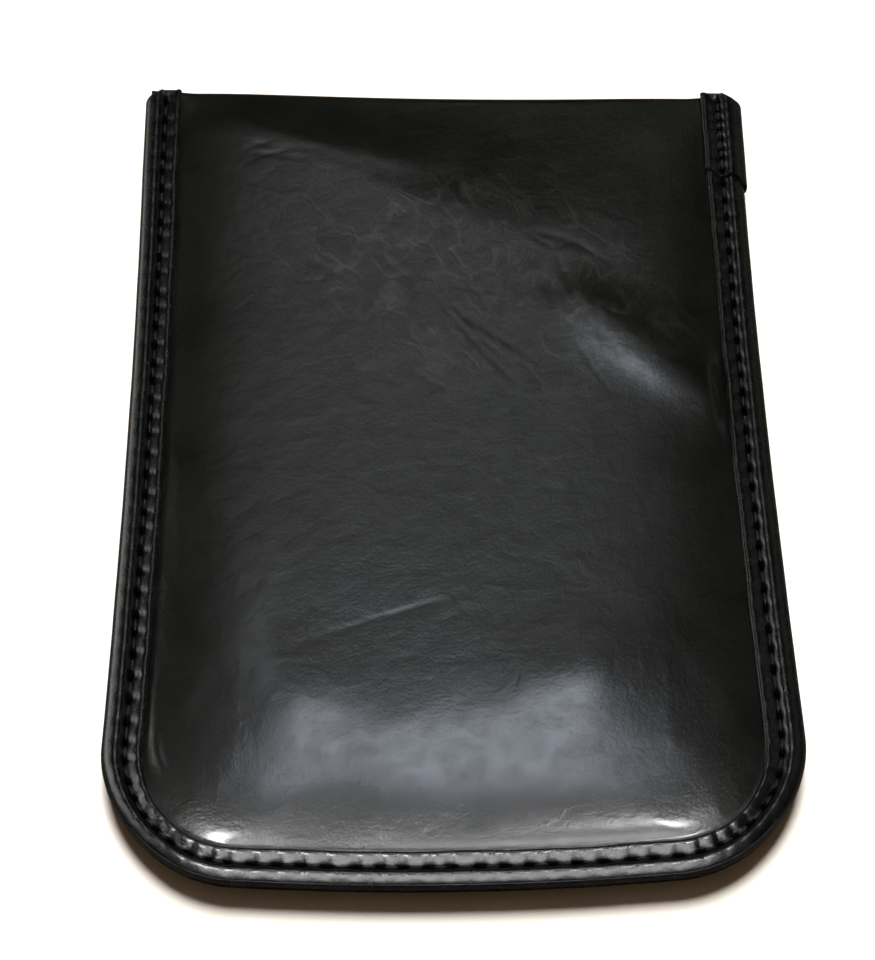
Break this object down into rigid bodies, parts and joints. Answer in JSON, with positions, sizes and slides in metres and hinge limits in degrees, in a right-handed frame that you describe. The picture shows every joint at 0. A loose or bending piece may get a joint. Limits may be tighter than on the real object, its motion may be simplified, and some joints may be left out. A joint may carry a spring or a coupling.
{
  "type": "neck pouch wallet",
  "caption": "Flat leather neck pouch with a softly swollen front, bound sides and rounded bottom, a zip across the back and a strap ring at each upper back corner.",
  "frame": {"origin": "the middle of the pouch's outline, at the height of the surface that its back lies on", "axes": "+X across the pouch, to the right as its front is seen; +Y along it from the rounded bottom to the mouth; +Z out of the front"},
  "size_m": [0.129, 0.1823, 0.0117],
  "materials": {
    "leather": "smooth semi-gloss, finely creased",
    "lining": "matt woven",
    "thread": "twisted polyester thread",
    "zip_tape": "herringbone woven tape",
    "zip_coil": "moulded nylon",
    "metal": "satin nickel plate"
  },
  "bodies": {
    "pouch": {"front_panel": "leather", "back_panel": "leather", "edge_binding": "leather", "binding_end_lap": "leather", "front_lining": "lining", "back_lining": "lining", "binding_thread_front": "thread", "binding_thread_back": "thread", "lap_thread_front": "thread", "lap_thread_back": "thread", "zipper_thread_upper": "thread", "zipper_thread_lower": "thread", "hanger_thread_left": "thread", "hanger_thread_right": "thread", "zipper_tape_upper": "zip_tape", "zipper_tape_lower": "zip_tape", "zipper_coil_upper": "zip_coil", "zipper_coil_lower": "zip_coil", "zipper_top_stop_upper": "metal", "zipper_top_stop_lower": "metal", "zipper_bottom_stop": "metal", "hanger_tab_left": "leather", "hanger_tab_right": "leather"},
    "slider": {"zipper_slider": "metal"},
    "pull": {"zipper_pull": "metal"},
    "left_ring": {"d_ring_left": "metal"},
    "right_ring": {"d_ring_right": "metal"}
  },
  "joints": [
    {"name": "zip_slide", "type": "slide", "parent": "pouch", "child": "slider", "axis": [-1, 0, 0], "range_m": [0, 0.087], "deforming": ["zipper_coil_upper", "zipper_coil_lower"]},
    {"name": "pull_swing", "type": "hinge", "parent": "slider", "child": "pull", "pos_m": [0.0425, 0.06245, 0.003], "axis": [0, -1, 0], "range_deg": [0, 165]},
    {"name": "left_ring_swing", "type": "hinge", "parent": "pouch", "child": "left_ring", "pos_m": [-0.046, 0.07945, 0.0018], "axis": [-1, 0, 0], "range_deg": [-5, 150]},
    {"name": "right_ring_swing", "type": "hinge", "parent": "pouch", "child": "right_ring", "pos_m": [0.046, 0.07945, 0.0018], "axis": [-1, 0, 0], "range_deg": [-5, 150]}
  ]
}
